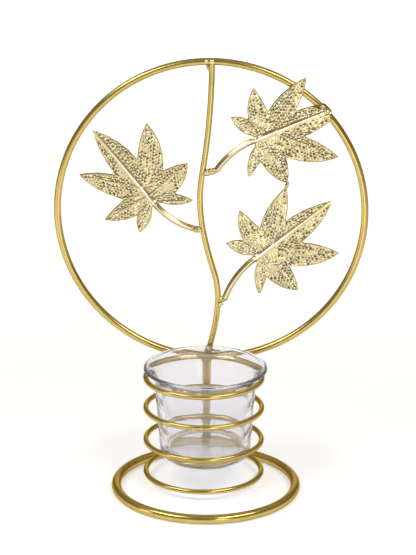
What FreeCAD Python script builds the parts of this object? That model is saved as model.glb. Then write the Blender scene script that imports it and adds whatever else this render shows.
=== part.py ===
import FreeCAD, Part

import math
import os

# Wire tea-light holder: a large upright hoop with a bent stem and three stamped leaves stands on a
# flat ring foot, and four smaller rings in front of its post carry a loose glass cup.
# Millimetres, +Z up. The origin is the middle of the ring foot, on the surface it rests on.
# +X is to the right and -Y is the front, where the cup stands.

Vector = FreeCAD.Vector
ACROSS = Vector(1, 0, 0)
BACK = Vector(0, 1, 0)
UP = Vector(0, 0, 1)

# Wires
base_wire_diameter = 5.2
post_diameter = 5.0
hoop_wire_diameter = 4.0
stem_wire_diameter = 3.3
cup_ring_wire_diameter = 2.9

# Ring foot, post and hoop, each ring measured to the middle of its wire
base_ring_diameter = 100.0
post_side_offset = -1.9
hoop_diameter = 172.5
hoop_foot_height = 60.0

# Rings that hold the cup, measured to the middle of the wire
cup_ring_diameter = 64.9
top_ring_height = 61.1
upper_ring_height = 43.2
lower_ring_height = 24.2
bottom_ring_height = 5.3

# Welds
weld_gap = 0.05
ring_weld_radius = 1.8
ring_weld_length = 6.4
ring_weld_depth = 1.2
ring_weld_drop = 1.8
post_foot_weld_width = 1.5
hoop_foot_weld_length = 11.0
hoop_foot_weld_radius = 1.5
stem_foot_weld_length = 9.0
stem_foot_weld_radius = 2.2
stem_top_weld_length = 7.0
stem_top_weld_radius = 1.1
stalk_weld_radius = 1.9
tip_weld_radius = 1.1
longest_bead_thickness_share = 1.05

# Glass cup
cup_rim_diameter = 69.0
cup_rim_thickness = 2.6
cup_height = 53.4
cup_neck_diameter = 56.8
cup_neck_depth = 10.3
cup_foot_diameter = 50.0
cup_wall = 2.8
cup_floor_thickness = 7.0
cup_floor_diameter = 43.0
cup_foot_rounding = 4.5
cup_floor_rounding = 2.2
cup_clearance = 0.3
cup_side_offset = 0.9
cup_forward_offset = 0.8

# Leaf stamping
leaf_length = 55.0
leaf_sheet = 0.7
leaf_cupping = 1.6
leaf_tip_width = 1.4
leaf_clearance = 0.3
lower_leaf_lean = 1.7
ridge_width = 3.6
ridge_height = 1.5
ridge_crest_width = 0.7
ridge_crest_bow = 0.14
ridge_tip_width = 1.2
ridge_tip_height = 0.3
vein_width = 0.9
vein_tip_width = 0.4
vein_height = 0.25
hook_tip_width = 5.0
hook_wrap_angle = 205

# Overrun of a cutting or trimming solid past what it cuts, and the turn in degrees under which two
# stretches of wire count as straight
overrun = 2.0
straight_turn = 0.1

# Points of the stem, from the top of the hoop to its foot, as shares of the hoop's radius across and
# above the hoop's centre. The joint that a leaf's stalk branches from is named after the leaf.
stem_share = {
    "top": (0.003, 1.0),
    "upper": (-0.0567, 0.2545),
    "left": (-0.0496, -0.130),
    "sway": (0.0209, -0.403),
    "lower": (0.0493, -0.606),
    "bend": (0.0285, -0.790),
    "foot": (-0.0234, -1.0),
}

# Where each leaf's blade and stalk end lie, as shares of the hoop's radius across and above the
# hoop's centre, and the turn of its midrib in degrees.
leaf_base_share = {"left": (-0.357, 0.043), "upper": (0.276, 0.492), "lower": (0.287, -0.309)}
stalk_end_share = {"left": (-0.115, -0.111), "upper": (0.037, 0.290), "lower": (0.096, -0.587)}
leaning_leaf = "lower"
hooked_leaf = "upper"
leaf_turn = {"left": 129.5, "upper": 23.4, "lower": 39.2}

# Outline of the leaf stamping, anticlockwise side first: the tip of each lobe and the notch after it,
# as the share of the leaf's length that they reach from the base and their angle from the midrib,
# and the bulge of the lobe's two edges as a share of the edge.
lobe_share = (
    (0.333, 111, 0.14, 0.10),
    (0.545, 67.6, 0.085, 0.02),
    (0.836, 28.7, 0.072, 0.05),
    (1.000, 0, 0.05, 0.075),
    (0.865, -33.6, 0.05, 0.10),
    (0.555, -75, 0.06, 0.11),
    (0.380, -121, 0.03, 0.10),
)
notch_share = (
    (0.224, 82),
    (0.333, 42),
    (0.515, 13.6),
    (0.515, -17.8),
    (0.367, -51),
    (0.233, -96),
)
base_corner_share = ((0.047, 83), (0.065, -108))

# Where each side lobe's vein leaves the midrib and how far along the lobe it runs, and how far the
# blade's cross-section reaches to each side and behind the base, all as shares.
vein_start_share = {0: 0.045, 1: 0.12, 2: 0.22, 4: 0.22, 5: 0.12, 6: 0.045}
vein_reach_share = 0.80
blade_half_width_share = 0.62
blade_behind_base_share = 0.25

base_wire_radius = base_wire_diameter / 2
post_radius = post_diameter / 2
hoop_wire_radius = hoop_wire_diameter / 2
stem_wire_radius = stem_wire_diameter / 2
cup_ring_wire_radius = cup_ring_wire_diameter / 2
base_ring_radius = base_ring_diameter / 2
hoop_radius = hoop_diameter / 2
cup_ring_radius = cup_ring_diameter / 2

# The post stands on the back of the ring foot, the hoop stands on the post with their front faces in
# one plane, and the cup rings touch that plane from the front.
post_axis_y = base_ring_radius
front_plane_y = post_axis_y - post_radius
hoop_plane_y = front_plane_y + hoop_wire_radius
hoop_centre_z = hoop_foot_height + hoop_radius
cup_ring_centre_y = front_plane_y - weld_gap - cup_ring_wire_radius - cup_ring_radius
cup_axis = Vector(post_side_offset + cup_side_offset, cup_ring_centre_y - cup_forward_offset, 0)


def revolved(edges, centre, axis):
    """Solid of revolution of a closed outline."""
    return Part.Face(Part.Wire(edges)).revolve(centre, axis, 360)


def wire_ring(ring_radius, wire_radius, centre, axis):
    """Closed ring of round wire."""
    return Part.makeTorus(ring_radius, wire_radius, centre, axis)


def bead(start, end, radius):
    """Egg-shaped bead of weld metal between two points, as thick as the radius says at its middle."""
    along = end - start
    half_length = max(along.Length / 2, radius * longest_bead_thickness_share)
    middle = (start + end) / 2
    along.normalize()
    side = BACK.cross(along)
    side.normalize()
    start, end = middle - along * half_length, middle + along * half_length
    outline = Part.Ellipse(end, middle + side * radius, middle)
    edges = [
        Part.ArcOfEllipse(outline, 0, math.pi / 2).toShape(),
        Part.ArcOfEllipse(outline, math.pi / 2, math.pi).toShape(),
        Part.makeLine(start, end),
    ]
    return revolved(edges, middle, along)


def tangent_arcs(points, direction):
    """Chain of arcs through the points, each tangent to the one before it."""
    edges = []
    for start, end in zip(points, points[1:]):
        chord = end - start
        along = FreeCAD.Vector(direction)
        along.normalize()
        unit = FreeCAD.Vector(chord)
        unit.normalize()
        turn = along.getAngle(unit)
        if turn < math.radians(straight_turn):
            edges.append(Part.makeLine(start, end))
            continue
        across = along - unit * along.dot(unit)
        across.normalize()
        middle = (start + end) / 2 + across * (chord.Length / 2 * math.tan(turn / 2))
        edges.append(Part.Arc(start, middle, end).toShape())
        direction = unit * (2 * along.dot(unit)) - along
    return Part.Wire(edges), direction


def trimmed(shape, *neighbours):
    """What is left of a bead beside its neighbours, without loose slivers."""
    for neighbour in neighbours:
        shape = shape.cut(neighbour)
    return max(shape.Solids, key=lambda solid: solid.Volume)


def save(name, shape):
    """Writes one piece to its own STEP file."""
    solids = shape.Solids
    assert shape.isValid() and solids, name
    piece = solids[0] if len(solids) == 1 else Part.makeCompound(solids)
    piece.exportStep(os.path.join("parts", name + ".step"))


# Ring foot: one closed ring of the thickest wire, lying on the table.
base_ring = wire_ring(base_ring_radius, base_wire_radius, Vector(0, 0, base_wire_radius), UP)

# Hoop: an upright ring of wire over the middle of the foot.
hoop_centre = Vector(0, hoop_plane_y, hoop_centre_z)
hoop = wire_ring(hoop_radius, hoop_wire_radius, hoop_centre, BACK)

# Post: a straight rod, coped at both ends to sit on the ring foot and under the hoop.
post_blank = Part.makeCylinder(
    post_radius,
    hoop_foot_height - base_wire_radius,
    Vector(post_side_offset, post_axis_y, base_wire_radius),
    UP,
)
post = trimmed(post_blank, base_ring, hoop)

# Cup rings: four equal rings of thin wire, one above the other in front of the post.
cup_ring_heights = {
    "top": top_ring_height,
    "upper": upper_ring_height,
    "lower": lower_ring_height,
    "bottom": bottom_ring_height,
}
cup_rings = {}
for place, height in cup_ring_heights.items():
    centre = Vector(post_side_offset, cup_ring_centre_y, height)
    cup_rings[place] = wire_ring(cup_ring_radius, cup_ring_wire_radius, centre, UP)

# Stem: a bent wire from the top of the hoop to its foot, coped to the hoop's wire at both ends.
stem_points = {
    name: hoop_centre + Vector(across * hoop_radius, 0, above * hoop_radius)
    for name, (across, above) in stem_share.items()
}
stem_path, foot_direction = tangent_arcs(list(stem_points.values()), -UP)
stem_section = Part.Wire(Part.makeCircle(stem_wire_radius, stem_points["top"], -UP))
stem_blank = stem_path.makePipeShell([stem_section], True, False)
stem = max(stem_blank.cut(hoop).Solids, key=lambda solid: solid.Volume)

# Ring welds: a drop of weld metal in the crotch under each cup ring, against the front of the post.
ring_welds = {}
for place, height in cup_ring_heights.items():
    half_length = Vector(ring_weld_length / 2, 0, 0)
    middle = Vector(post_side_offset, front_plane_y - ring_weld_depth, height - ring_weld_drop)
    drop = bead(middle - half_length, middle + half_length, ring_weld_radius)
    ring_welds[place] = trimmed(drop, post, hoop, base_ring, cup_rings[place])

# Post foot weld: a collar of weld metal round the foot of the post, on the crown of the ring foot.
foot_collar = Part.makeCone(
    post_radius + post_foot_weld_width,
    post_radius,
    base_wire_radius + post_foot_weld_width,
    Vector(post_side_offset, post_axis_y, base_wire_radius),
    UP,
)
post_foot_weld = trimmed(foot_collar, post_blank, base_ring, cup_rings["bottom"], ring_welds["bottom"])

# Hoop foot weld: a run of weld metal on the hoop, from the post's top out to the right.
run_z = hoop_foot_height + hoop_wire_radius
run_start = Vector(post_side_offset - hoop_wire_radius, hoop_plane_y, run_z)
run_end = run_start + Vector(hoop_foot_weld_length, 0, 0)
hoop_foot_weld = trimmed(bead(run_start, run_end, hoop_foot_weld_radius), hoop, stem, cup_rings["top"])

# Stem foot weld: a collar of weld metal where the stem stands on the hoop.
collar_start = stem_points["foot"]
collar_end = collar_start - foot_direction * stem_foot_weld_length
collar = bead(collar_start, collar_end, stem_foot_weld_radius)
stem_foot_weld = trimmed(collar, hoop, stem, hoop_foot_weld, cup_rings["top"])

# Stem top weld: a short leaning drop that makes the stem's top end look forked.
fork_end = stem_points["top"] - Vector(stem_wire_diameter, 0, hoop_wire_radius / 2)
fork_start = stem_points["top"] - Vector(0, 0, stem_top_weld_length)
stem_top_weld = trimmed(bead(fork_start, fork_end, stem_top_weld_radius), hoop, stem)


def polar(reach, angle):
    """Point in the leaf's plane, the angle measured anticlockwise from the midrib."""
    return Vector(reach * math.cos(math.radians(angle)), 0, reach * math.sin(math.radians(angle)))


def bulged(start, end, share):
    """Arc between two points that stands out to the left of its chord by a share of it."""
    chord = end - start
    left = Vector(-chord.z, 0, chord.x)
    return Part.Arc(start, (start + end) / 2 + left * share, end).toShape()


def leaf_outline():
    """Outline of the stamping, clockwise as seen from the front, with blunt tips."""
    first, last = [polar(reach * leaf_length, angle) for reach, angle in base_corner_share]
    notches = [polar(reach * leaf_length, angle) for reach, angle in notch_share]
    valleys = [first] + notches + [last]
    edges = []
    for (reach, angle, before, after), start, end in zip(lobe_share, valleys, valleys[1:]):
        tip = polar(reach * leaf_length, angle)
        along = tip - (start + end) / 2
        along.normalize()
        left = Vector(-along.z, 0, along.x)
        shoulder = tip - along * (leaf_tip_width / 2)
        tip_start = shoulder + left * (leaf_tip_width / 2)
        tip_end = shoulder - left * (leaf_tip_width / 2)
        edges.append(bulged(start, tip_start, before))
        edges.append(Part.Arc(tip_start, tip, tip_end).toShape())
        edges.append(bulged(tip_end, end, after))
    half = Vector(0, 0, ridge_width / 2)
    edges.append(Part.makeLine(last, -half))
    edges.append(Part.makeLine(-half, half))
    edges.append(Part.makeLine(half, first))
    return Part.Wire(edges)


def ridge_points(width, height):
    """Points of the folded ridge's front and of the groove behind it, across the midrib."""
    crest = ridge_crest_width / ridge_width * width
    slope = math.atan2(height, (width - crest) / 2)
    groove = width / 2 - leaf_sheet * math.tan(slope / 2)
    depth = leaf_sheet - groove * math.tan(slope)
    return crest, groove, depth


def ridge_front(place, width, height):
    """Edges of the ridge's front, from its right foot over the crest to its left foot."""
    crest = ridge_points(width, height)[0]
    right_foot = Vector(place, 0, -width / 2)
    right_crest = Vector(place, -height, -crest / 2)
    top = Vector(place, -height - ridge_crest_bow / ridge_crest_width * crest, 0)
    left_crest = Vector(place, -height, crest / 2)
    left_foot = Vector(place, 0, width / 2)
    return [
        Part.makeLine(right_foot, right_crest),
        Part.Arc(right_crest, top, left_crest).toShape(),
        Part.makeLine(left_crest, left_foot),
    ]


def ridge_back(place, width, height):
    """Edges of the ridge's back, from its left foot through the groove to its right foot."""
    groove, depth = ridge_points(width, height)[1:]
    points = [
        Vector(place, leaf_sheet, width / 2),
        Vector(place, leaf_sheet, groove),
        Vector(place, depth, 0),
        Vector(place, leaf_sheet, -groove),
        Vector(place, leaf_sheet, -width / 2),
    ]
    return [Part.makeLine(a, b) for a, b in zip(points, points[1:])]


def blade_section(place, width, height):
    """Cross-section of the whole blade: a shallow dish on each side of the ridge."""
    span = leaf_length * blade_half_width_share

    def dish(side, depth):
        foot = Vector(place, depth, side * width / 2)
        middle = Vector(place, depth - leaf_cupping / 4, side * (span + width / 2) / 2)
        edge = Vector(place, depth - leaf_cupping, side * span)
        return foot, middle, edge

    right_front, right_back = dish(-1, 0), dish(-1, leaf_sheet)
    left_front, left_back = dish(1, 0), dish(1, leaf_sheet)
    edges = [Part.Arc(*reversed(right_front)).toShape()]
    edges += ridge_front(place, width, height)
    edges.append(Part.Arc(*left_front).toShape())
    edges.append(Part.makeLine(left_front[2], left_back[2]))
    edges.append(Part.Arc(*reversed(left_back)).toShape())
    edges += ridge_back(place, width, height)
    edges.append(Part.Arc(*right_back).toShape())
    edges.append(Part.makeLine(right_back[2], right_front[2]))
    return Part.Wire(edges)


def pressed(outline):
    """Prism of an outline, deep enough to pass through the dished sheet."""
    depth = leaf_cupping + ridge_height + overrun
    outline = outline.translated(Vector(0, -depth, 0))
    return Part.Face(outline).extrude(Vector(0, 2 * depth, 0))


def vein_strip(lobe):
    """Outline of one side lobe's vein, wide at the midrib and narrow at its end."""
    reach, angle = lobe_share[lobe][:2]
    start = Vector(vein_start_share[lobe] * leaf_length, 0, 0)
    tip = polar(reach * leaf_length, angle)
    along = tip - start
    end = start + along * vein_reach_share
    along.normalize()
    left = Vector(-along.z, 0, along.x)
    start = start + along * (ridge_width / 3)
    corners = [
        start + left * (vein_width / 2),
        end + left * (vein_tip_width / 2),
        end - left * (vein_tip_width / 2),
        start - left * (vein_width / 2),
    ]
    return Part.makePolygon(corners + corners[:1])


def leaf_stamping():
    """Flat-lying leaf: the base of its midrib at the origin, the midrib along +X, its front to -Y."""
    behind = -blade_behind_base_share * leaf_length
    sections = [
        blade_section(behind, ridge_width, ridge_height),
        blade_section(0, ridge_width, ridge_height),
        blade_section(leaf_length + overrun, ridge_tip_width, ridge_tip_height),
    ]
    sheet = Part.makeLoft(sections, True, True)
    blade = pressed(leaf_outline()).common(sheet)
    raised = sheet.translated(Vector(0, -vein_height, 0))
    veins = [pressed(vein_strip(lobe)).common(raised) for lobe in vein_start_share]
    return blade.fuse(veins)


def stalk(end):
    """Folded stalk: the ridge's own section, swept on one arc from the blade's base to its end."""
    section = Part.Wire(
        ridge_front(0, ridge_width, ridge_height)
        + [Part.makeLine(Vector(0, 0, ridge_width / 2), Vector(0, leaf_sheet, ridge_width / 2))]
        + ridge_back(0, ridge_width, ridge_height)
        + [Part.makeLine(Vector(0, leaf_sheet, -ridge_width / 2), Vector(0, 0, -ridge_width / 2))]
    )
    centre_z = (end.x * end.x + end.z * end.z) / (2 * end.z)
    sweep = 2 * math.degrees(math.atan2(abs(end.z), -end.x))
    axis = BACK if end.z > 0 else -BACK
    return Part.Face(section).revolve(Vector(0, 0, centre_z), axis, sweep)


def sheet_middle(place, reach, angle):
    """Point of a placed leaf, halfway through its sheet, from its reach and angle in the stamping."""
    point = polar(reach * leaf_length, angle)
    span = leaf_length * blade_half_width_share - ridge_width / 2
    rise = leaf_cupping * ((abs(point.z) - ridge_width / 2) / span) ** 2
    return leaf_motion[place].multVec(point + Vector(0, leaf_sheet / 2 - rise, 0))


# Leaves: one stamping used three times, each with its stalk bent to reach its joint of the stem. The
# left and lower leaves lie in the plane of the stem, and the upper one lies in front of the hoop.
stamping = leaf_stamping()
stem_front_y = hoop_plane_y - stem_wire_radius
leaf_face_y = {
    "left": stem_front_y + leaf_sheet,
    "upper": front_plane_y - leaf_clearance - leaf_sheet,
    "lower": stem_front_y + leaf_sheet,
}


def hoop_place(share, depth):
    """Point in front of the hoop, from its shares of the hoop's radius."""
    across, above = share
    return Vector(across * hoop_radius, depth, hoop_centre_z + above * hoop_radius)


leaves = {}
leaf_motion = {}
stalk_ends = {}
for place, turn in leaf_turn.items():
    base = hoop_place(leaf_base_share[place], leaf_face_y[place])
    end = hoop_place(stalk_end_share[place], leaf_face_y[place])
    motion = FreeCAD.Placement(base, FreeCAD.Rotation(BACK, -turn))
    if place == leaning_leaf:
        tilt = FreeCAD.Rotation(ACROSS, lower_leaf_lean)
        motion = FreeCAD.Placement(Vector(0, 0, 0), tilt, stem_points[place]).multiply(motion)
    local_end = FreeCAD.Rotation(BACK, turn).multVec(end - base)
    leaf = stamping.fuse(stalk(local_end)).removeSplitter()
    leaf.Placement = motion
    leaves[place] = leaf
    leaf_motion[place] = motion
    stalk_ends[place] = motion.multVec(local_end + Vector(0, leaf_sheet / 2, 0))

# The upper leaf's middle lobe ends in a hook, folded over the hoop's wire where its midrib meets it.
base = hoop_place(leaf_base_share[hooked_leaf], hoop_plane_y) - hoop_centre
midrib = polar(1, leaf_turn[hooked_leaf])
reach = math.sqrt(base.dot(midrib) ** 2 + hoop_radius**2 - base.dot(base)) - base.dot(midrib)
fold = base + midrib * reach
outward = Vector(fold).normalize()
tangent = outward.cross(BACK)
fold = hoop_centre + fold
hook_inner = hoop_wire_radius + leaf_clearance
hook_width = hook_tip_width + 2 * hook_inner
corner = fold - BACK * hook_inner - tangent * (hook_width / 2)
hook_sheet = Part.makePolygon(
    [
        corner,
        corner + tangent * hook_width,
        corner + tangent * hook_width - BACK * leaf_sheet,
        corner - BACK * leaf_sheet,
        corner,
    ]
)
hook = Part.Face(hook_sheet).revolve(fold, tangent, hook_wrap_angle)
hook_reach = hook_inner + leaf_sheet
depth = Vector(0, hook_reach + overrun, 0)
taper = Part.makePolygon(
    [
        fold - outward * hook_reach - tangent * (hook_width / 2 + hook_reach) - depth,
        fold - outward * hook_reach + tangent * (hook_width / 2 + hook_reach) - depth,
        fold + outward * hook_reach + tangent * (hook_tip_width / 2) - depth,
        fold + outward * hook_reach - tangent * (hook_tip_width / 2) - depth,
        fold - outward * hook_reach - tangent * (hook_width / 2 + hook_reach) - depth,
    ]
)
hook = hook.common(Part.Face(taper).extrude(depth * 2))
lobe_end = Part.makePolygon(
    [
        fold - tangent * leaf_length / 4 - depth * 2,
        fold + tangent * leaf_length / 4 - depth * 2,
        fold + (outward + tangent) * leaf_length / 4 - depth * 2,
        fold + (outward - tangent) * leaf_length / 4 - depth * 2,
        fold - tangent * leaf_length / 4 - depth * 2,
    ]
)
lobe_end = Part.Face(lobe_end).extrude(depth * 4)
leaves[hooked_leaf] = trimmed(leaves[hooked_leaf], lobe_end).fuse(hook).removeSplitter()

# Stalk welds: a knuckle of weld metal from the end of each stalk to its joint of the stem.
stalk_welds = {}
for place, leaf in leaves.items():
    joint = stem_points[place]
    along = joint - stalk_ends[place]
    along.normalize()
    start = stalk_ends[place] - along * stalk_weld_radius
    knuckle = bead(start, joint + along * stem_wire_radius, stalk_weld_radius)
    stalk_welds[place] = trimmed(knuckle, stem, leaf)

# Leaf tip weld: a dot of solder that joins the lower leaf's upper lobe to the upper leaf.
upper_tip = sheet_middle("upper", *lobe_share[5][:2])
lower_tip = sheet_middle("lower", *lobe_share[2][:2])
along = lower_tip - upper_tip
along.normalize()
dot = bead(upper_tip - along * tip_weld_radius, lower_tip + along * tip_weld_radius, tip_weld_radius)
tip_weld = trimmed(dot, *leaves.values())

# Glass cup: thick-bottomed, slightly tapered, its mouth flared to a rounded rim that rests on the top
# cup ring. It is loose, and lies a little forward and to the right in its rings.
cup_foot_radius = cup_foot_diameter / 2
cup_neck_radius = cup_neck_diameter / 2
cup_rim_radius = cup_rim_diameter / 2
cup_floor_radius = cup_floor_diameter / 2
neck_z = cup_height - cup_neck_depth
wall_direction = Vector(cup_neck_radius - cup_foot_radius, 0, neck_z).normalize()


def flare_arc(neck, rim):
    """Arc that leaves the neck along the wall and ends at the rim, with its centre and radius."""
    outward = Vector(wall_direction.z, 0, -wall_direction.x)
    chord = rim - neck
    radius = chord.dot(chord) / (2 * outward.dot(chord))
    centre = neck + outward * radius
    toward = (neck + rim) / 2 - centre
    toward.normalize()
    return Part.Arc(neck, centre + toward * radius, rim).toShape(), centre, radius


def rounded(before, corner, after, radius):
    """Start, middle and end of the arc that rounds the corner between two straight lines."""
    back = (before - corner).normalize()
    forth = (after - corner).normalize()
    half_angle = back.getAngle(forth) / 2
    reach = radius / math.tan(half_angle)
    middle = corner + (back + forth).normalize() * (radius / math.sin(half_angle) - radius)
    return corner + back * reach, middle, corner + forth * reach


outer_neck = Vector(cup_neck_radius, 0, neck_z)
inner_neck = Vector(cup_neck_radius - cup_wall, 0, neck_z)
outer_rim = Vector(cup_rim_radius, 0, cup_height - cup_rim_thickness / 2)
inner_rim = Vector(cup_rim_radius - cup_rim_thickness, 0, cup_height - cup_rim_thickness / 3)
rim_top = Vector(cup_rim_radius - cup_rim_thickness / 2, 0, cup_height)
outer_flare, flare_centre, flare_radius = flare_arc(outer_neck, outer_rim)
inner_flare = flare_arc(inner_neck, inner_rim)[0]
foot_middle = Vector(0, 0, 0)
floor_middle = Vector(0, 0, cup_floor_thickness)
foot_corner = Vector(cup_foot_radius, 0, 0)
floor_corner = Vector(cup_floor_radius, 0, cup_floor_thickness)
foot_edge, foot_bend, foot_side = rounded(foot_middle, foot_corner, outer_neck, cup_foot_rounding)
floor_side, floor_bend, floor_edge = rounded(inner_neck, floor_corner, floor_middle, cup_floor_rounding)
glass_cup = revolved(
    [
        Part.makeLine(foot_middle, foot_edge),
        Part.Arc(foot_edge, foot_bend, foot_side).toShape(),
        Part.makeLine(foot_side, outer_neck),
        outer_flare,
        Part.Arc(outer_rim, rim_top, inner_rim).toShape(),
        inner_flare,
        Part.makeLine(inner_neck, floor_side),
        Part.Arc(floor_side, floor_bend, floor_edge).toShape(),
        Part.makeLine(floor_edge, floor_middle),
        Part.makeLine(floor_middle, foot_middle),
    ],
    foot_middle,
    UP,
)

# The ring's wire nests in the hollow of the flare on the side that the cup leans to, so the cup's
# height follows from where a circle of the wire's size and the clearance fit in the flare's arc.
lean_offset = math.hypot(cup_side_offset, cup_forward_offset)
nest_radius = flare_radius - cup_ring_wire_radius - cup_clearance
nest_across = flare_centre.x - (cup_ring_radius - lean_offset)
nest_rise = math.sqrt(nest_radius**2 - nest_across**2)
cup_foot_height = top_ring_height - flare_centre.z - nest_rise
glass_cup.translate(cup_axis + UP * cup_foot_height)

os.makedirs("parts", exist_ok=True)
pieces = {
    "base_ring": base_ring,
    "post": post,
    "post_foot_weld": post_foot_weld,
    "hoop": hoop,
    "hoop_foot_weld": hoop_foot_weld,
    "stem": stem,
    "stem_foot_weld": stem_foot_weld,
    "stem_top_weld": stem_top_weld,
    "leaf_tip_weld": tip_weld,
    "glass_cup": glass_cup,
}
for place in cup_ring_heights:
    pieces["cup_ring_" + place] = cup_rings[place]
    pieces["ring_weld_" + place] = ring_welds[place]
for place in leaf_turn:
    pieces["leaf_" + place] = leaves[place]
    pieces["stalk_weld_" + place] = stalk_welds[place]
for name, shape in pieces.items():
    save(name, shape)
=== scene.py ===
import math

import bmesh
import bpy
from mathutils import Matrix, Vector, noise
from mathutils.kdtree import KDTree


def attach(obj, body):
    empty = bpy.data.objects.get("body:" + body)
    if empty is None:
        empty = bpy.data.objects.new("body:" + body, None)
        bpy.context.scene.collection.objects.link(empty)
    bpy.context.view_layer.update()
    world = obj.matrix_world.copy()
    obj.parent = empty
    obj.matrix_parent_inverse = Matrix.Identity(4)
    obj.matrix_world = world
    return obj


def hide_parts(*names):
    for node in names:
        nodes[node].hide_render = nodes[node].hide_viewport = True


# Wire tea-light holder: gold wire rings, an upright hoop with a stem and three pressed leaves, and a
# loose glass cup. Metres, +Z up, the front towards -Y.
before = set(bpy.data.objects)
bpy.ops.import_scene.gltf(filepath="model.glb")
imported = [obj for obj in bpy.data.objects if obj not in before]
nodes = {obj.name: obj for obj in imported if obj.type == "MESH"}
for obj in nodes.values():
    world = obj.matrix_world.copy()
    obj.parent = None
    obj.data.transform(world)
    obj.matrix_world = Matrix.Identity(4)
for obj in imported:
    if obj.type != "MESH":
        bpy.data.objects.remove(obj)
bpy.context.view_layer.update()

# Ring foot, post, hoop and stem: drawn steel wire and rod, bent to shape and welded, then sprayed
# with a satin gold lacquer that is a little uneven and grainy close up and turns brown at its edges.
lacquer_edge = (0.50, 0.33, 0.17, 1.0)
lacquer_coat = 0.2
lacquer_coat_roughness = 0.3
lacquer_coat_ior = 1.5
sprayed_grain_scale = 2200.0
sprayed_grain_strength = 0.10
sprayed_grain_depth = 0.00004


def new_finish(name):
    """New material, with its node tree and its shader."""
    finish = bpy.data.materials.new(name)
    finish.use_nodes = True
    return finish, finish.node_tree, finish.node_tree.nodes["Principled BSDF"]


def settle(node, values):
    """Sets sockets of a node to plain values."""
    for socket, value in values.items():
        node.inputs[socket].default_value = value


def mapped(tree, value, low, high, at_low, at_high):
    """A socket's value, stretched by a Map Range node from one range to another."""
    node = tree.nodes.new("ShaderNodeMapRange")
    settle(node, {"From Min": low, "From Max": high, "To Min": at_low, "To Max": at_high})
    tree.links.new(value, node.inputs["Value"])
    return node.outputs["Result"]


def noise_pattern(tree, place, values):
    """Noise on a piece's own coordinates, from 0 to 1."""
    node = tree.nodes.new("ShaderNodeTexNoise")
    settle(node, values)
    tree.links.new(place, node.inputs["Vector"])
    return node.outputs["Fac"]


def embossed(tree, shader, height, strength, depth):
    """Bumps the shader's surface by a height pattern."""
    bump = tree.nodes.new("ShaderNodeBump")
    settle(bump, {"Strength": strength, "Distance": depth})
    tree.links.new(height, bump.inputs["Height"])
    tree.links.new(bump.outputs["Normal"], shader.inputs["Normal"])


def gold_lacquer(name, deep, bright, mottle_size, shine):
    """Satin gold lacquer over metal: mottled colour, uneven shine and a fine sprayed grain."""
    finish, tree, shader = new_finish(name)
    settle(shader, {
        "Metallic": 1.0,
        "Specular Tint": lacquer_edge,
        "Coat Weight": lacquer_coat,
        "Coat Roughness": lacquer_coat_roughness,
        "Coat IOR": lacquer_coat_ior,
    })
    place = tree.nodes.new("ShaderNodeTexCoord").outputs["Object"]
    mottle = noise_pattern(tree, place, {"Scale": 1 / mottle_size, "Detail": 4.0, "Roughness": 0.6})
    tint = tree.nodes.new("ShaderNodeValToRGB")
    tint.color_ramp.elements[0].position = 0.32
    tint.color_ramp.elements[0].color = (*deep, 1.0)
    tint.color_ramp.elements[1].position = 0.68
    tint.color_ramp.elements[1].color = (*bright, 1.0)
    tree.links.new(mottle, tint.inputs["Fac"])
    tree.links.new(tint.outputs["Color"], shader.inputs["Base Color"])
    roughness = mapped(tree, mottle, 0.3, 0.7, shine - 0.03, shine + 0.04)
    tree.links.new(roughness, shader.inputs["Roughness"])
    grain = noise_pattern(tree, place, {"Scale": sprayed_grain_scale, "Detail": 2.0})
    embossed(tree, shader, grain, sprayed_grain_strength, sprayed_grain_depth)
    return finish


def cover(node, finish):
    """Gives a piece of the plain model its finish."""
    node.data.materials.clear()
    node.data.materials.append(finish)


wire_gold = gold_lacquer("satin_gold_wire", (0.54, 0.415, 0.120), (0.62, 0.485, 0.160), 0.006, 0.18)
for name in ("base_ring", "post", "hoop", "stem"):
    cover(nodes[name], wire_gold)

# Cup rings: four closed rings of thinner wire in the same lacquer, made a little brighter
# all over.
thin_wire_gold = gold_lacquer(
    "satin_gold_thin_wire", (0.56, 0.430, 0.125), (0.64, 0.500, 0.165), 0.005, 0.18)
for level in ("top", "upper", "lower", "bottom"):
    cover(nodes["cup_ring_" + level], thin_wire_gold)

# Welds: drops and runs of weld metal under the lacquer, lumpy and bright where it lies thick. Each is
# the plain bead of the model with its skin roughened, as weld metal sets. Sizes in millimetres.
weld_gold = gold_lacquer("gold_over_weld", (0.52, 0.40, 0.13), (0.74, 0.61, 0.28), 0.0016, 0.20)
weld_voxel = 0.18
lump_height = 0.30
lump_size = 1.3
ripple_height = 0.10
ripple_size = 0.5


def dense_copy(name, node, put, voxel, softening=0):
    """Evenly dense mesh of a piece, in millimetres in the frame that the matrix carries to its place."""
    build = bmesh.new()
    build.from_mesh(node.data)
    bmesh.ops.transform(build, matrix=put.inverted(), verts=build.verts)
    bmesh.ops.remove_doubles(build, verts=build.verts, dist=0.002)
    mesh = bpy.data.meshes.new(name)
    build.to_mesh(mesh)
    build.free()
    solid = bpy.data.objects.new(name, mesh)
    bpy.context.collection.objects.link(solid)
    remesh = solid.modifiers.new("dense", "REMESH")
    remesh.mode = "VOXEL"
    remesh.voxel_size = voxel
    remesh.adaptivity = 0.0
    evaluated = solid.evaluated_get(bpy.context.evaluated_depsgraph_get())
    dense = bpy.data.meshes.new_from_object(evaluated)
    bpy.data.objects.remove(solid)
    build = bmesh.new()
    build.from_mesh(dense)
    for _ in range(softening):
        bmesh.ops.smooth_vert(
            build, verts=build.verts, factor=0.5, use_axis_x=True, use_axis_y=True, use_axis_z=True)
    for face in build.faces:
        face.smooth = True
    build.to_mesh(dense)
    build.free()
    return dense


def new_piece(name, mesh, finish):
    """New object at the origin with a mesh and a finish."""
    piece = bpy.data.objects.new(name, mesh)
    bpy.context.collection.objects.link(piece)
    piece.data.materials.append(finish)
    return piece


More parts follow.
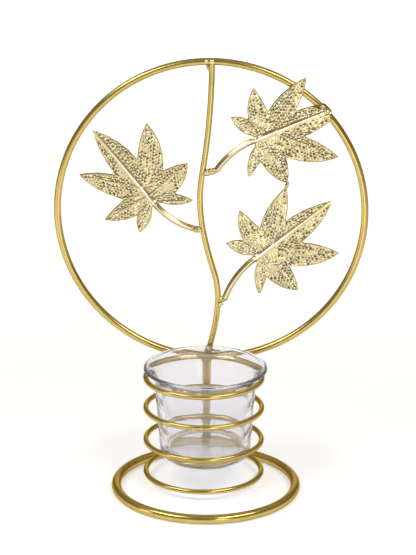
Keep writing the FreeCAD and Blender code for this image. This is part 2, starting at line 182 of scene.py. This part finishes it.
for name in [name for name in nodes if "weld" in name]:
    node = nodes[name]
    in_place = Matrix.Scale(0.001, 4)
    skin = dense_copy("lumpy_" + name, node, in_place, weld_voxel)
    for vertex in skin.vertices:
        lump = noise.noise(vertex.co / lump_size) * lump_height
        ripple = noise.noise(vertex.co / ripple_size) * ripple_height
        vertex.co += vertex.normal * (lump + ripple)
    skin.transform(in_place)
    weld = new_piece("lumpy_" + name, skin, weld_gold)
    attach(weld, "stand")
    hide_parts(name)

# Solder beads: drops where the stem's forked top meets the hoop and where the stalks meet the
# stem, coloured a pale near-white gold as a painted glint, and the dressed butt seams of two of the
# cup rings. Middle of each, in millimetres, and its half sizes.
solder_with_painted_glint = gold_lacquer("solder_with_painted_glint", (0.80, 0.74, 0.52), (0.93, 0.90, 0.76), 0.0012, 0.14)
for name, middle, half_sizes, finish in (
    ("top_bead_left", (-2.8, 47.0, 233.15), (1.2, 1.1, 1.1), solder_with_painted_glint),
    ("top_bead_right", (0.4, 46.8, 233.0), (1.5, 1.3, 1.4), solder_with_painted_glint),
    ("joint_bead_upper", (-2.5, 47.3, 169.4), (1.5, 1.1, 1.0), solder_with_painted_glint),
    ("joint_bead_left", (-6.0, 47.3, 135.4), (1.3, 1.1, 1.1), solder_with_painted_glint),
    ("joint_bead_lower", (6.1, 47.3, 92.3), (1.3, 1.1, 1.2), solder_with_painted_glint),
    ("upper_ring_seam", (-2.0, -20.25, 43.3), (0.75, 0.45, 1.3), weld_gold),
    ("top_ring_seam", (7.6, 45.0, 61.3), (0.7, 1.25, 1.35), weld_gold),
):
    mesh = bpy.data.meshes.new(name)
    build = bmesh.new()
    bmesh.ops.create_uvsphere(build, u_segments=24, v_segments=14, radius=0.001)
    bmesh.ops.scale(build, vec=half_sizes, verts=build.verts)
    bmesh.ops.translate(build, vec=Vector(middle) * 0.001, verts=build.verts)
    for face in build.faces:
        face.smooth = True
    build.to_mesh(mesh)
    build.free()
    bead = new_piece(name, mesh, finish)
    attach(bead, "stand")

# Leaves: one stamping of thin sheet used three times, seven-lobed and slightly dished, its midrib
# folded into a ridge and its side veins raised, the rest hammered all over with small pits in rows
# that follow each lobe. Sizes are in millimetres in the stamping's own frame, as it was pressed.
leaf_voxel = 0.24
leaf_softening = 4
leaf_length = 55.0
lobes = (
    (0.333, 111), (0.545, 67.6), (0.836, 28.7), (1.0, 0), (0.865, -33.6), (0.555, -75), (0.380, -121))
vein_starts = {0: 0.045, 1: 0.12, 2: 0.22, 4: 0.22, 5: 0.12, 6: 0.045}
vein_plain_half_width = 0.2
vein_pitting = 0.45
pit_pitch = 1.9
pit_depth = 0.55
pit_radius = 1.0
bump_height = 0.16
bump_radius = 0.60
fine_pitch = 1.3
fine_radius = 0.66
fine_reach = 15.0
row_spacing = 0.866
blow_patch_size = 6.0
border_width = 0.6
edge_width = 0.9
ridge_half_width = 1.8
ridge_height = 1.5
ridge_taper = 1.2
ridge_flattening = 0.75
# Painted highlight along the crest of the midrib and the stalk: its half widths, its taper, where it
# ends along the midrib, and its strength on the stalk.
ridge_painted_highlight_half_width = 0.95
ridge_painted_highlight_taper = 0.9
ridge_painted_highlight_end = 0.79
stalk_painted_highlight_half_width = 0.55
stalk_painted_highlight = 0.55
stalk_half_width = 2.3
stalk_rim_reach = 2.6
wave_height = 0.20
lobe_arch = 0.75
arch_half_width = 7.0
arch_reach = 9.0
sample_step = 0.12
hoop_middle = Vector((0.0, 49.5, 146.25))
hoop_radius = 86.25
leaf_places = {
    "left": {
        "base": (-0.357, 0.043), "end": (-0.115, -0.111), "turn": 129.5, "face": 48.55, "lean": 0.0},
    "upper": {
        "base": (0.276, 0.492), "end": (0.037, 0.290), "turn": 23.4, "face": 46.5, "lean": 0.0},
    "lower": {
        "base": (0.287, -0.309), "end": (0.096, -0.587), "turn": 39.2, "face": 48.55, "lean": 1.7},
}
lower_joint = Vector((0.0493 * hoop_radius, hoop_middle.y, hoop_middle.z - 0.606 * hoop_radius))


def from_stamping(place):
    """Matrix that carries the stamping's own frame, in millimetres, to its place on the holder."""
    across, above = place["base"]
    base = Vector((across * hoop_radius, place["face"], hoop_middle.z + above * hoop_radius))
    put = Matrix.Translation(base) @ Matrix.Rotation(math.radians(-place["turn"]), 4, "Y")
    lean = Matrix.Rotation(math.radians(place["lean"]), 4, "X")
    put = Matrix.Translation(lower_joint) @ lean @ Matrix.Translation(-lower_joint) @ put
    return Matrix.Scale(0.001, 4) @ put


def stalk_arc(place):
    """Centre height and radius of the arc that the stalk is bent along, in the stamping's frame."""
    step_x = (place["end"][0] - place["base"][0]) * hoop_radius
    step_z = (place["end"][1] - place["base"][1]) * hoop_radius
    turn = math.radians(place["turn"])
    end_x = step_x * math.cos(turn) + step_z * math.sin(turn)
    end_z = -step_x * math.sin(turn) + step_z * math.cos(turn)
    centre_z = (end_x * end_x + end_z * end_z) / (2 * end_z)
    return centre_z, abs(centre_z)


# Each lobe's vein line: where it leaves the midrib, its direction and its length to the lobe's tip.
lobe_lines = []
for number, (reach, angle) in enumerate(lobes):
    way = Vector((math.cos(math.radians(angle)), math.sin(math.radians(angle))))
    tip = way * reach * leaf_length
    start = Vector((vein_starts.get(number, 0.0) * leaf_length, 0.0))
    lobe_lines.append((start, (tip - start).normalized(), (tip - start).length))


def clamped(value):
    """The value, kept between 0 and 1."""
    return max(0.0, min(1.0, value))


def scatter(spot, row):
    """Three numbers from 0 to 1 that differ from pit to pit, as the hand that struck them did."""
    numbers = []
    for first, second, spread in (
        (12.9898, 78.233, 43758.5453),
        (39.3468, 11.135, 24634.6345),
        (73.156, 52.235, 31415.9265),
    ):
        value = math.sin(first * spot + second * row) * spread
        numbers.append(value - math.floor(value))
    return numbers


def pit_at(along, across, pitch, radius):
    """How deep a hammered pit is at a point, in staggered rows along a lobe."""
    deepest = 0.0
    near_row = round(across / (pitch * row_spacing))
    for row in (near_row - 1, near_row, near_row + 1):
        shift = 0.5 * (row % 2)
        near = round(along / pitch - shift)
        for spot in (near - 1, near, near + 1):
            aside, beyond, force = scatter(spot, row)
            away_x = along - (spot + shift + (aside - 0.5) * 0.45) * pitch
            away_y = across - (row * row_spacing + (beyond - 0.5) * 0.40) * pitch
            away = math.hypot(away_x * 0.85, away_y * 1.1) / (radius * (0.75 + 0.45 * force))
            if away < 1.0:
                deepest = max(deepest, (0.25 + 0.95 * force) * (1.0 - away * away) ** 1.5)
    return deepest


# Points already worked out, which the three leaves share because they are one stamping.
struck = {}


def hammering(x, z):
    """Pit and bump at a point of the stamping, from 0 to 1, and its distance from the lobe's middle."""
    cell = (round(x / sample_step), round(z / sample_step))
    if cell in struck:
        return struck[cell]
    spot = Vector((x, z))
    nearest, along, across, flat = 1e9, 0.0, 0.0, 1.0
    for number, (start, way, length) in enumerate(lobe_lines):
        from_start = spot - start
        run = from_start.dot(way)
        side = from_start.x * -way.y + from_start.y * way.x
        away = math.hypot(side, max(0.0, -run, run - length))
        if number in vein_starts and run < length * 0.8:
            off_vein = max(0.0, min(1.0 - vein_pitting, (away - vein_plain_half_width) / 0.4))
            flat = min(flat, vein_pitting + off_vein)
        if away < nearest:
            nearest, along, across = away, run, side
    coarse = clamped((spot.length - 0.5 * fine_reach) / (0.6 * fine_reach))
    blow = flat * (0.80 + 0.6 * noise.noise(Vector((x, z, 0.0)) / blow_patch_size))
    pit = coarse * pit_at(along, across, pit_pitch, pit_radius)
    bump = pit_at(along + 0.55 * pit_pitch, across + 0.25 * pit_pitch, pit_pitch, bump_radius)
    if coarse < 1.0:
        pit = max(pit, 0.7 * (1.0 - coarse) * pit_at(along, across, fine_pitch, fine_radius))
    struck[cell] = (pit * blow, bump * blow, nearest)
    return struck[cell]


def hammered_leaf(label, place):
    """Dense mesh of one leaf, hammered, that remembers its pits, bumps, edge, stalk and crest."""
    put = from_stamping(place)
    dense = dense_copy("hammered_leaf_" + label, nodes["leaf_" + label], put, leaf_voxel, leaf_softening)
    centre_z, radius = stalk_arc(place)
    rim = [v.co for v in dense.vertices if abs(v.normal.y) < 0.5 and abs(v.co.z) > stalk_rim_reach]
    tree = KDTree(len(rim))
    for number, point in enumerate(rim):
        tree.insert(Vector((point.x, 0.0, point.z)), number)
    tree.balance()
    marks = {"pit": [], "bump": [], "edge": [], "stalk": [], "crest": []}
    for vertex in dense.vertices:
        x, y, z = vertex.co
        out = clamped(x / leaf_length)
        half_width, height = ridge_half_width - ridge_taper * out, ridge_height - ridge_taper * out
        # The crest's painted highlight: a pale line along the midrib's crest that narrows and ends
        # before the tip, and a narrower one along the stalk.
        if x < 0.0:
            painted_highlight_half_width, shine = stalk_painted_highlight_half_width, stalk_painted_highlight
        else:
            painted_highlight_half_width = ridge_painted_highlight_half_width - ridge_painted_highlight_taper * x / leaf_length
            shine = clamped((ridge_painted_highlight_end - x / leaf_length) / 0.07)
        from_middle = abs(z) if x > 0.0 else abs(math.hypot(x, z - centre_z) - radius)
        crest = clamped(min((painted_highlight_half_width - from_middle) / 0.3, -y / 0.15))
        marks["crest"].append(crest * shine)
        on_stalk = x < -0.5 and from_middle < stalk_half_width
        marks["stalk"].append(float(on_stalk))
        if on_stalk:
            for name in ("pit", "bump", "edge"):
                marks[name].append(0.0)
            continue
        edge = tree.find(Vector((x, 0.0, z)))[2]
        keep = clamped(min((abs(z) - half_width - 0.1) / 0.5, (edge - border_width) / 0.4))
        pit, bump, from_lobe = hammering(x, z)
        pit, bump = pit * keep, bump * keep
        # The pit and bump values also go into the colour: painted shade darkens the pits and a painted
        # highlight whitens the bumps.
        marks["pit"].append(pit)
        marks["bump"].append(bump)
        # Painted shade along the outline, strongest at the cut edge.
        marks["edge"].append(max(0.0, 1.0 - edge / edge_width))
        arch = lobe_arch * (min(from_lobe, arch_reach) / arch_half_width) ** 2
        wave = math.sin(x * 0.55 + 1.3) * math.sin(z * 0.5 + x * 0.2) * wave_height + arch
        level = clamped(x / 8.0) * max(0.0, 1.0 - abs(z) / half_width) * ridge_flattening * height
        off_ridge = clamped((abs(z) - half_width) / 3.0)
        vertex.co.y += pit * pit_depth - bump * bump_height + level + wave * off_ridge
    for name, values in marks.items():
        layer = dense.attributes.new(name, "FLOAT", "POINT")
        layer.data.foreach_set("value", values)
    dense.transform(put)
    return new_piece("hammered_leaf_" + label, dense, leaf_gold)


leaf_gold = gold_lacquer("pale_gold_leaf", (0.60, 0.515, 0.265), (0.73, 0.655, 0.385), 0.007, 0.17)
leaf_tree = leaf_gold.node_tree
leaf_shader = leaf_tree.nodes["Principled BSDF"]
leaf_shader.inputs["Coat Weight"].default_value = 0.08
leaf_colour = leaf_shader.inputs["Base Color"].links[0].from_socket
# Colours mixed over the leaf's mottled gold, each by its mark: painted shade, painted highlights and the
# stalk's own gold. Mark, colour, start and end of its ramp, and strength.
for name, colour, start, end, strength in (
    # Painted shade: the pits darkened to a deep olive gold.
    ("pit", (0.165, 0.115, 0.012), 0.12, 0.85, 1.0),
    # Painted highlight: the bumps between the pits whitened.
    ("bump", (0.98, 0.96, 0.90), 0.12, 0.6, 1.0),
    # Painted shade: a darker, deeper gold along the outline.
    ("edge", (0.42, 0.27, 0.07), 0.10, 0.6, 0.85),
    ("stalk", (0.63, 0.52, 0.22), 0.10, 1.0, 0.85),
    # Painted highlight: a near-white line along the crest.
    ("crest", (0.97, 0.94, 0.82), 0.10, 0.6, 0.9),
):
    mark = leaf_tree.nodes.new("ShaderNodeAttribute")
    mark.attribute_name = name
    tone_and_painted_light = leaf_tree.nodes.new("ShaderNodeMix")
    tone_and_painted_light.data_type = "RGBA"
    factor, under, over = tone_and_painted_light.inputs[0], tone_and_painted_light.inputs[6], tone_and_painted_light.inputs[7]
    leaf_tree.links.new(mapped(leaf_tree, mark.outputs["Fac"], start, end, 0.0, strength), factor)
    leaf_tree.links.new(leaf_colour, under)
    over.default_value = (*colour, 1.0)
    leaf_colour = tone_and_painted_light.outputs[2]
leaf_tree.links.new(leaf_colour, leaf_shader.inputs["Base Color"])
for label, place in leaf_places.items():
    leaf = hammered_leaf(label, place)
    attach(leaf, "stand")
    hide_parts("leaf_" + label)

# Glass cup: pressed clear glass with a heavy floor and a fire-polished flared rim, a little rippled
# from its mould and faintly grey, loose in its rings.
clear_glass, glass_tree, glass_shader = new_finish("clear_pressed_glass")
settle(glass_shader, {
    "Base Color": (0.91, 0.91, 0.955, 1.0),
    "Transmission Weight": 0.94,
    "Roughness": 0.0,
    "IOR": 1.5,
})
glass_place = glass_tree.nodes.new("ShaderNodeTexCoord").outputs["Object"]
mould_ripple = noise_pattern(glass_tree, glass_place, {"Scale": 90.0, "Detail": 1.0})
embossed(glass_tree, glass_shader, mould_ripple, 0.35, 0.0004)
cover(nodes["glass_cup"], clear_glass)

# Table: a plain white sheet of laminate under the holder, lifted to plain white where the camera, metal
# or glass sees it, more further out where the lamps reach it less. In metal and glass it fades at the
# sides, as a sheet of paper ends there.
table_half_width = 1.6
lift_middle = (0.0, -0.15, 0.0)
lift_near, lift_far = 0.44, 0.75
lift_start, lift_end = 0.35, 1.0
fade_start, fade_end = 0.30, 0.50
faded = 0.15


def calculated(tree, operation, first, second=None):
    """Result of a Math node on one socket or two."""
    node = tree.nodes.new("ShaderNodeMath")
    node.operation = operation
    tree.links.new(first, node.inputs[0])
    if second is not None:
        tree.links.new(second, node.inputs[1])
    return node.outputs["Value"]


table_mesh = bpy.data.meshes.new("white_table")
build = bmesh.new()
bmesh.ops.create_grid(build, x_segments=1, y_segments=1, size=table_half_width)
build.to_mesh(table_mesh)
build.free()
laminate, laminate_tree, laminate_shader = new_finish("white_laminate")
settle(laminate_shader, {
    "Base Color": (0.93, 0.93, 0.93, 1.0),
    "Roughness": 0.8,
    "Specular IOR Level": 0.0,
    "Emission Color": (0.90, 0.92, 1.0, 1.0),
})
seen = laminate_tree.nodes.new("ShaderNodeLightPath")
shown = seen.outputs["Is Camera Ray"]
for kind in ("Is Glossy Ray", "Is Transmission Ray"):
    shown = calculated(laminate_tree, "MAXIMUM", shown, seen.outputs[kind])
table_place = laminate_tree.nodes.new("ShaderNodeTexCoord").outputs["Object"]
away = laminate_tree.nodes.new("ShaderNodeVectorMath")
away.operation = "DISTANCE"
away.inputs[1].default_value = lift_middle
laminate_tree.links.new(table_place, away.inputs[0])
lift = mapped(laminate_tree, away.outputs["Value"], lift_start, lift_end, lift_near, lift_far)
table_parts = laminate_tree.nodes.new("ShaderNodeSeparateXYZ")
laminate_tree.links.new(table_place, table_parts.inputs["Vector"])
aside = calculated(laminate_tree, "ABSOLUTE", table_parts.outputs["X"])
fade = mapped(laminate_tree, aside, fade_start, fade_end, 1.0, faded)
fade = calculated(laminate_tree, "MAXIMUM", fade, seen.outputs["Is Camera Ray"])
lift = calculated(laminate_tree, "MULTIPLY", lift, fade)
lift = calculated(laminate_tree, "MULTIPLY", lift, shown)
laminate_tree.links.new(lift, laminate_shader.inputs["Emission Strength"])
table = new_piece("white_table", table_mesh, laminate)

# Backdrop: a lit white card standing behind the holder, just larger than the picture. Metal and glass
# show it, and the camera doesn't.
card_mesh = bpy.data.meshes.new("white_card")
build = bmesh.new()
bmesh.ops.create_grid(build, x_segments=1, y_segments=1, size=0.5)
upright = Matrix.Rotation(math.radians(90), 3, "X")
bmesh.ops.rotate(build, cent=(0, 0, 0), matrix=upright, verts=build.verts)
bmesh.ops.translate(build, vec=(0.0, 1.5, 0.2), verts=build.verts)
build.to_mesh(card_mesh)
build.free()
card_white, _, card_shader = new_finish("lit_white_card")
settle(card_shader, {
    "Base Color": (0.0, 0.0, 0.0, 1.0),
    "Emission Color": (1.0, 1.0, 1.0, 1.0),
    "Emission Strength": 1.0,
})
card = new_piece("white_card", card_mesh, card_white)
card.visible_camera = False

# Studio: a plain white world, and inside it a room as wide as the table whose painted walls and
# ceiling only light the holder and show in its metal. The paint is palest at the floor and darkest at
# a third of its height.
room_width = 3.2
room_height = 1.6
world = bpy.data.worlds.new("studio")
bpy.context.scene.world = world
world.use_nodes = True
settle(world.node_tree.nodes["Background"], {"Color": (1.0, 1.0, 1.0, 1.0), "Strength": 1.0})
room_mesh = bpy.data.meshes.new("studio_room")
build = bmesh.new()
bmesh.ops.create_cube(build, size=room_width)
bmesh.ops.translate(build, vec=(0.0, 0.0, room_width / 2), verts=build.verts)
ground = [face for face in build.faces if face.calc_center_median().z < 0.1]
bmesh.ops.delete(build, geom=ground, context="FACES")
bmesh.ops.reverse_faces(build, faces=build.faces)
bmesh.ops.scale(build, vec=(1.0, 1.0, room_height / room_width), verts=build.verts)
build.to_mesh(room_mesh)
build.free()
paint, paint_tree, paint_shader = new_finish("studio_paint")
settle(paint_shader, {
    "Base Color": (0.0, 0.0, 0.0, 1.0),
    "Specular IOR Level": 0.0,
    "Emission Strength": 1.0,
})
room_place = paint_tree.nodes.new("ShaderNodeTexCoord").outputs["Object"]
room_parts = paint_tree.nodes.new("ShaderNodeSeparateXYZ")
paint_tree.links.new(room_place, room_parts.inputs["Vector"])
shade = paint_tree.nodes.new("ShaderNodeValToRGB")
shades = shade.color_ramp.elements
shades[0].position = 0.0
shades[0].color = (0.60, 0.575, 0.54, 1.0)
shades[1].position = 1.0
shades[1].color = (0.42, 0.38, 0.29, 1.0)
shades.new(0.28).color = (0.27, 0.235, 0.165, 1.0)
shades.new(0.90).color = (0.32, 0.285, 0.21, 1.0)
height_share = mapped(paint_tree, room_parts.outputs["Z"], 0.0, room_height, 0.0, 1.0)
paint_tree.links.new(height_share, shade.inputs["Fac"])
paint_tree.links.new(shade.outputs["Color"], paint_shader.inputs["Emission Color"])
room = new_piece("studio_room", room_mesh, paint)
room.visible_camera = False
room.visible_transmission = False

# Lamps: two soft boxes hang high and two low strips stand in front, one of each on either side of the
# camera. Side and lift in degrees, then distance, width, height and brightness of the lit face.
for name, side, lift, reach, width, tall, glow in (
    ("soft_box_left", -58, 52, 1.25, 0.76, 0.32, 5.0),
    ("soft_box_right", 50, 52, 1.25, 0.76, 0.32, 5.0),
    ("low_strip_left", -68, 13, 0.34, 0.08, 0.16, 1.5),
    ("low_strip_right", 20, 13, 0.34, 0.07, 0.16, 2.0),
):
    lamp = bpy.data.lights.new(name, "AREA")
    lamp.shape = "RECTANGLE"
    lamp.size = width
    lamp.size_y = tall
    lamp.energy = glow * math.pi * width * tall
    holder = bpy.data.objects.new(name, lamp)
    holder.visible_camera = False
    side, lift = math.radians(side), math.radians(lift)
    way = Vector((math.cos(lift) * math.sin(side), -math.cos(lift) * math.cos(side), math.sin(lift)))
    holder.location = way * reach
    aim = holder.location if reach > 1 else Vector((holder.location.x, holder.location.y, 0.0))
    holder.rotation_euler = (-aim).to_track_quat("-Z", "Y").to_euler()
    bpy.context.collection.objects.link(holder)

# Camera: the photograph's place and lens, a little above the holder and looking down at it, with the
# lens in millimetres on a 36 mm sensor.
camera_data = bpy.data.cameras.new("camera")
camera_data.sensor_width = 36.0
camera_data.lens = 157.42
camera = bpy.data.objects.new("camera", camera_data)
bpy.context.collection.objects.link(camera)
yaw = Matrix.Rotation(math.radians(2.456), 3, "Z")
pitch = Matrix.Rotation(math.radians(-18.087), 3, "X")
roll = Matrix.Rotation(math.radians(-0.265), 3, "Y")
camera.matrix_world = (yaw @ pitch @ roll @ Matrix.Rotation(math.radians(90), 3, "X")).to_4x4()
camera.location = (0.05451, -1.25422, 0.53373)
bpy.context.scene.camera = camera

bpy.context.scene.view_settings.view_transform = "Standard"
